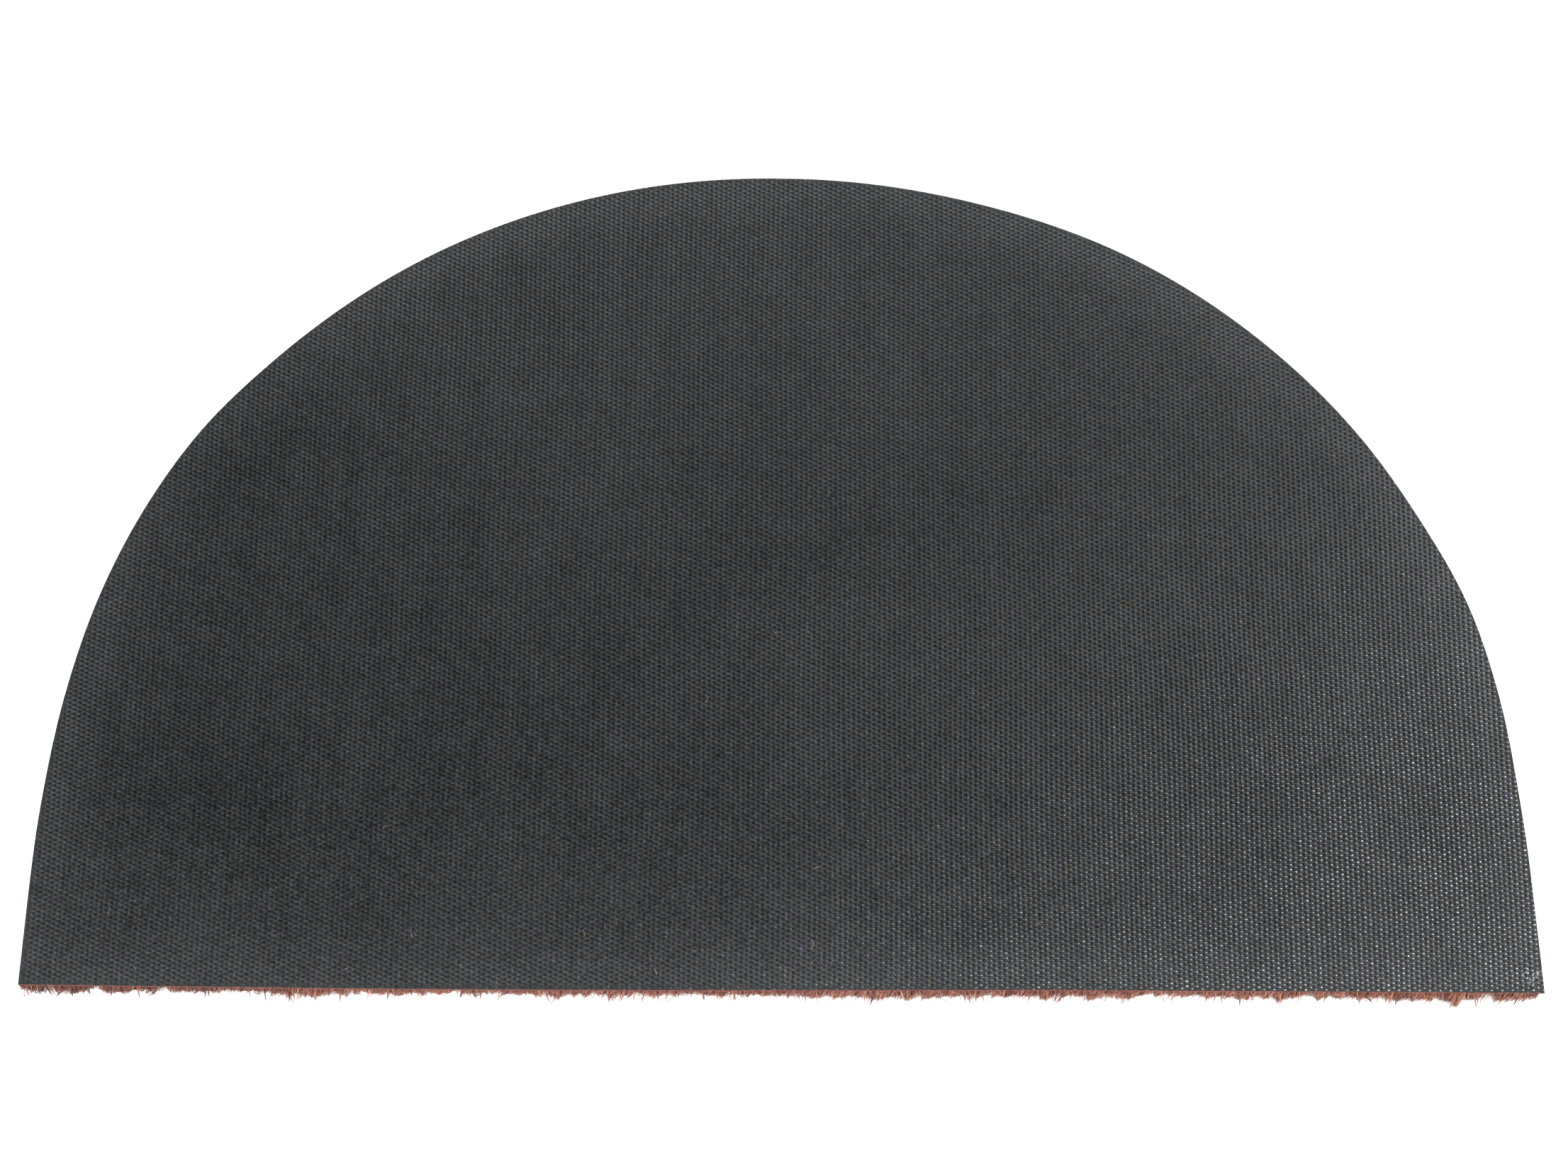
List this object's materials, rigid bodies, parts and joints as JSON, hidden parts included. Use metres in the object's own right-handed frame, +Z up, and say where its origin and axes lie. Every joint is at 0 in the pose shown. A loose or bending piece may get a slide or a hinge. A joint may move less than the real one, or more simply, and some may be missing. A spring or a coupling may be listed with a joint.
{
  "type": "half-round coir doormat",
  "caption": "Half-round doormat lying face down: a thin rubber backing sheet embossed like woven cloth, over a dense bed of short reddish coir pile with a ragged rim.",
  "frame": {"origin": "under the middle of the mat's bounding box, on the surface that the pile's tips rest on", "axes": "+X along the straight edge, +Y from the straight edge towards the arc, +Z up out of the backing, with the mat lying face down"},
  "size_m": [0.7498, 0.4536, 0.015],
  "materials": {
    "backing_rubber": "dark grey rubber with a fine woven-cloth emboss, dull on its raised dashes and glossy in its pits",
    "coir": "coarse coconut fibre dyed reddish brown, matte, with paler and darker strands"
  },
  "bodies": {
    "root": {"backing": "backing_rubber", "coir_pile": "coir"}
  },
  "joints": []
}
